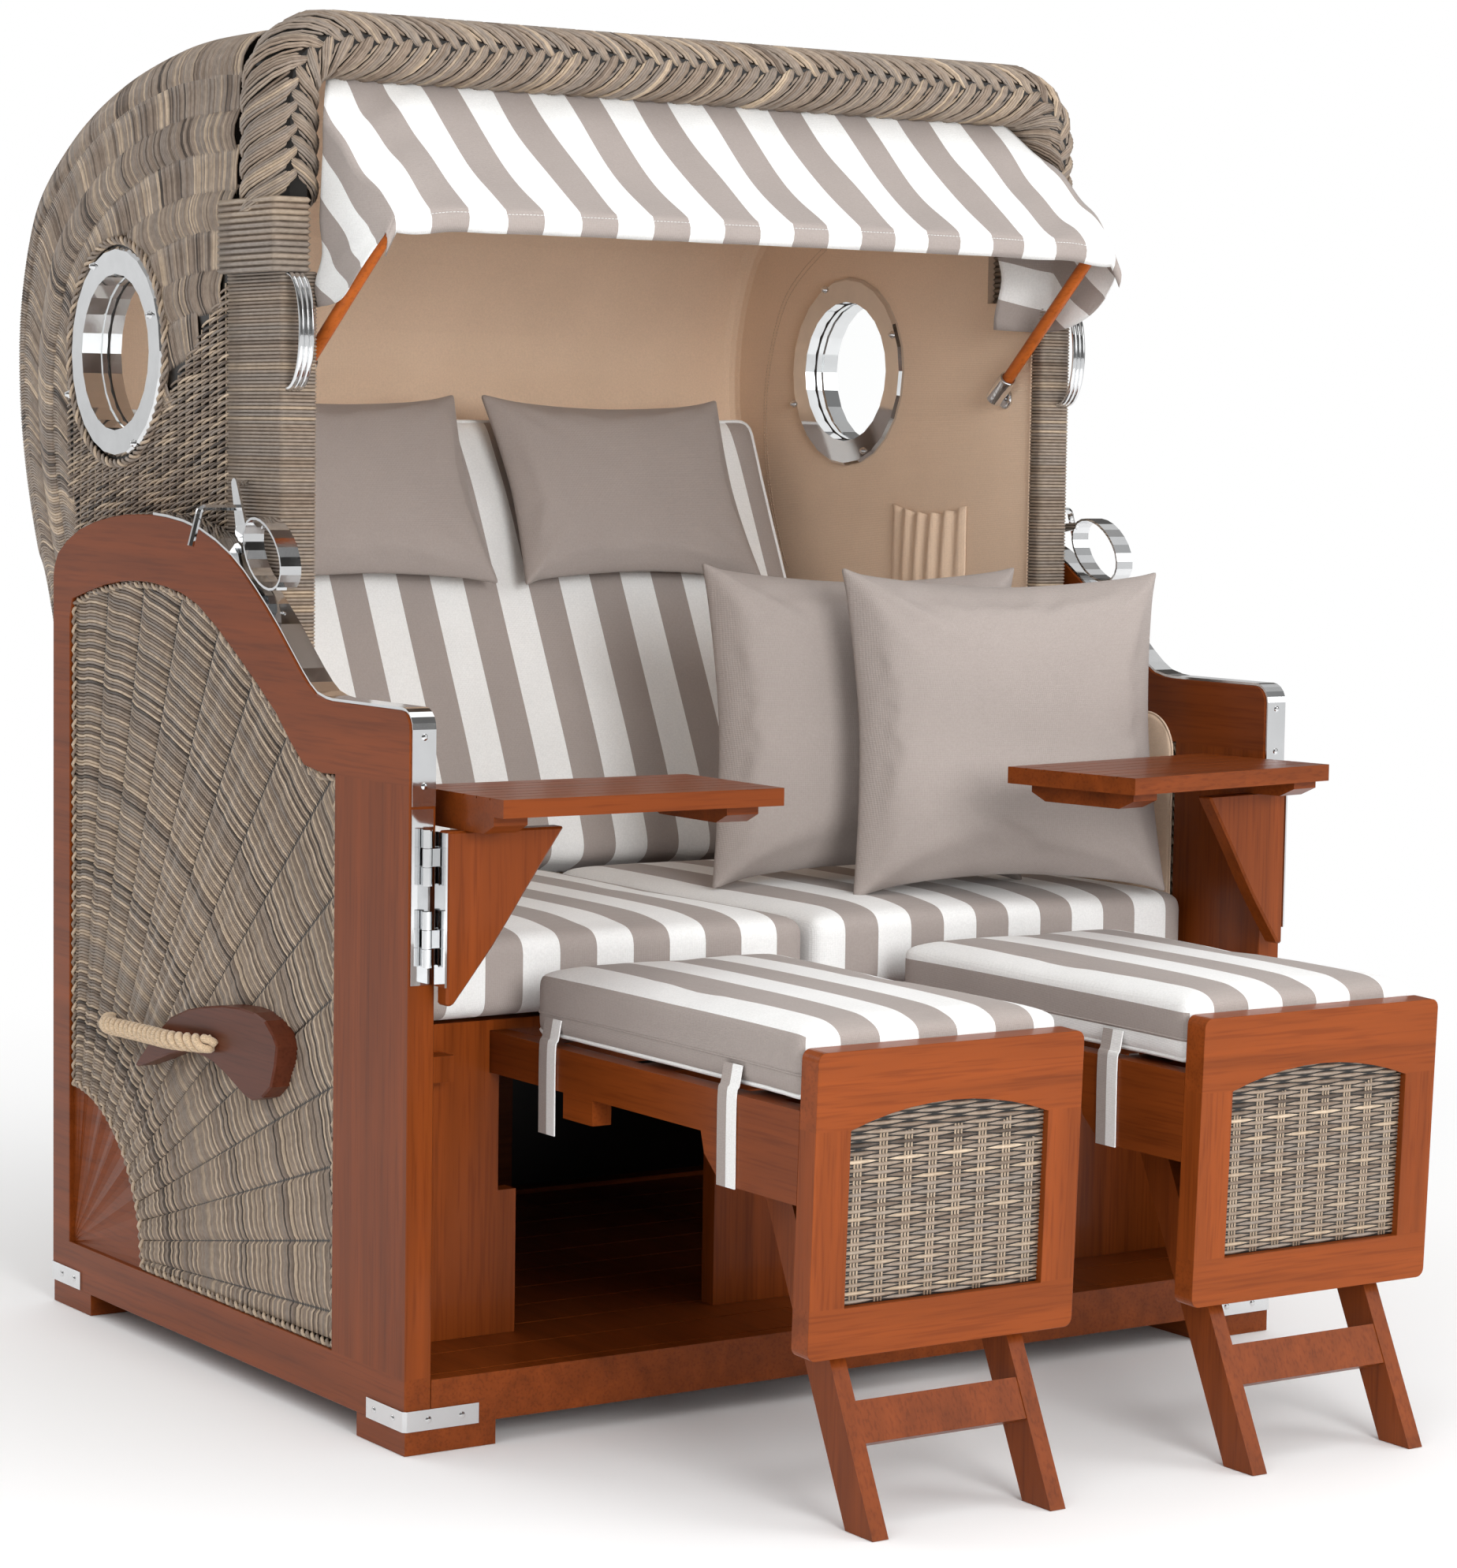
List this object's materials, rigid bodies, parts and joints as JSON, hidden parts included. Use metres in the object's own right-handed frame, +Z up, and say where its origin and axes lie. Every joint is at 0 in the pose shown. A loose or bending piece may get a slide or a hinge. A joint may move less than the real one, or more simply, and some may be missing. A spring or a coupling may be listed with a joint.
{
  "type": "hooded beach chair",
  "caption": "Wooden and woven beach chair with a tilting hood, an awning, side tables, cushions and pull-out footrests.",
  "frame": {"origin": "on the ground under the middle of the chair with its footrests pulled out", "axes": "+Z up, -Y out of the chair's open front, +X to the right of someone who looks at the front"},
  "size_m": [1.3552, 1.7001, 1.6019],
  "materials": {
    "mahogany": "satin",
    "stick_wood": "satin",
    "weave": "matte",
    "polished_metal": "polished",
    "striped_cloth": "matte",
    "taupe_cloth": "matte",
    "lining_cloth": "matte",
    "rope": "matte",
    "pane": "clear"
  },
  "bodies": {
    "base": {"left_side_frame": "mahogany", "right_side_frame": "mahogany", "left_side_weave": "weave", "right_side_weave": "weave", "left_top_trim": "polished_metal", "right_top_trim": "polished_metal", "left_handle_holder": "mahogany", "right_handle_holder": "mahogany", "left_rope_handle": "rope", "right_rope_handle": "rope", "left_side_liner": "lining_cloth", "right_side_liner": "lining_cloth", "left_seat_cushion": "striped_cloth", "right_seat_cushion": "striped_cloth", "left_post_hinge": "polished_metal", "right_post_hinge": "polished_metal", "left_hood_pivot": "polished_metal", "right_hood_pivot": "polished_metal", "floor_deck": "mahogany", "seat_box": "mahogany", "rear_frame": "mahogany", "rear_weave": "weave", "front_throw_pillow": "taupe_cloth", "rear_throw_pillow": "taupe_cloth"},
    "hood": {"hood_shell": "weave", "hood_lining": "lining_cloth", "hood_rim": "weave", "backrest": "striped_cloth", "pocket": "lining_cloth", "left_head_pillow": "taupe_cloth", "right_head_pillow": "taupe_cloth", "left_porthole_ring": "polished_metal", "right_porthole_ring": "polished_metal", "left_porthole_pane": "pane", "right_porthole_pane": "pane", "left_grab_handle": "polished_metal", "right_grab_handle": "polished_metal", "left_tilt_plate": "polished_metal", "right_tilt_plate": "polished_metal"},
    "awning": {"awning_bow": "stick_wood", "awning_cloth": "striped_cloth"},
    "left_lever": {"left_tilt_lever": "polished_metal"},
    "left_table": {"left_table_top": "mahogany", "left_table_bracket": "mahogany", "left_table_hinge": "polished_metal"},
    "left_footrest": {"left_footrest_frame": "mahogany", "left_footrest_panel": "mahogany", "left_footrest_weave": "weave", "left_footrest_cushion": "striped_cloth"},
    "left_footrest_leg": {"left_leg": "mahogany"},
    "right_lever": {"right_tilt_lever": "polished_metal"},
    "right_table": {"right_table_top": "mahogany", "right_table_bracket": "mahogany", "right_table_hinge": "polished_metal"},
    "right_footrest": {"right_footrest_frame": "mahogany", "right_footrest_panel": "mahogany", "right_footrest_weave": "weave", "right_footrest_cushion": "striped_cloth"},
    "right_footrest_leg": {"right_leg": "mahogany"}
  },
  "joints": [
    {"name": "hood_tilt", "type": "hinge", "parent": "base", "child": "hood", "pos_m": [0, 0.58294, 0.53], "axis": [-1, 0, 0], "range_deg": [0, 30]},
    {"name": "awning_swing", "type": "hinge", "parent": "hood", "child": "awning", "pos_m": [0, 0.15794, 1.175], "axis": [-1, 0, 0], "range_deg": [0, 33], "deforming": ["awning_cloth"]},
    {"name": "left_table_swing", "type": "hinge", "parent": "base", "child": "left_table", "pos_m": [-0.6085, -0.32356, 0.61], "axis": [0, 0, -1], "range_deg": [0, 133]},
    {"name": "right_table_swing", "type": "hinge", "parent": "base", "child": "right_table", "pos_m": [0.6085, -0.32356, 0.61], "axis": [0, 0, 1], "range_deg": [-9.8, 123.2]},
    {"name": "left_footrest_slide", "type": "slide", "parent": "base", "child": "left_footrest", "axis": [0, 1, 0], "range_m": [0, 0.05]},
    {"name": "left_leg_fold", "type": "hinge", "parent": "left_footrest", "child": "left_footrest_leg", "pos_m": [-0.255, -0.65286, 0.36], "axis": [1, 0, 0], "range_deg": [0, 115]},
    {"name": "left_lever_lift", "type": "hinge", "parent": "hood", "child": "left_lever", "pos_m": [0, 0.14294, 0.999], "axis": [-1, 0, 0], "range_deg": [0, 40]},
    {"name": "right_footrest_slide", "type": "slide", "parent": "base", "child": "right_footrest", "axis": [0, 1, 0], "range_m": [0, 0.05]},
    {"name": "right_leg_fold", "type": "hinge", "parent": "right_footrest", "child": "right_footrest_leg", "pos_m": [0.255, -0.65286, 0.36], "axis": [1, 0, 0], "range_deg": [0, 115]},
    {"name": "right_lever_lift", "type": "hinge", "parent": "hood", "child": "right_lever", "pos_m": [0, 0.14294, 0.999], "axis": [-1, 0, 0], "range_deg": [0, 40]}
  ]
}
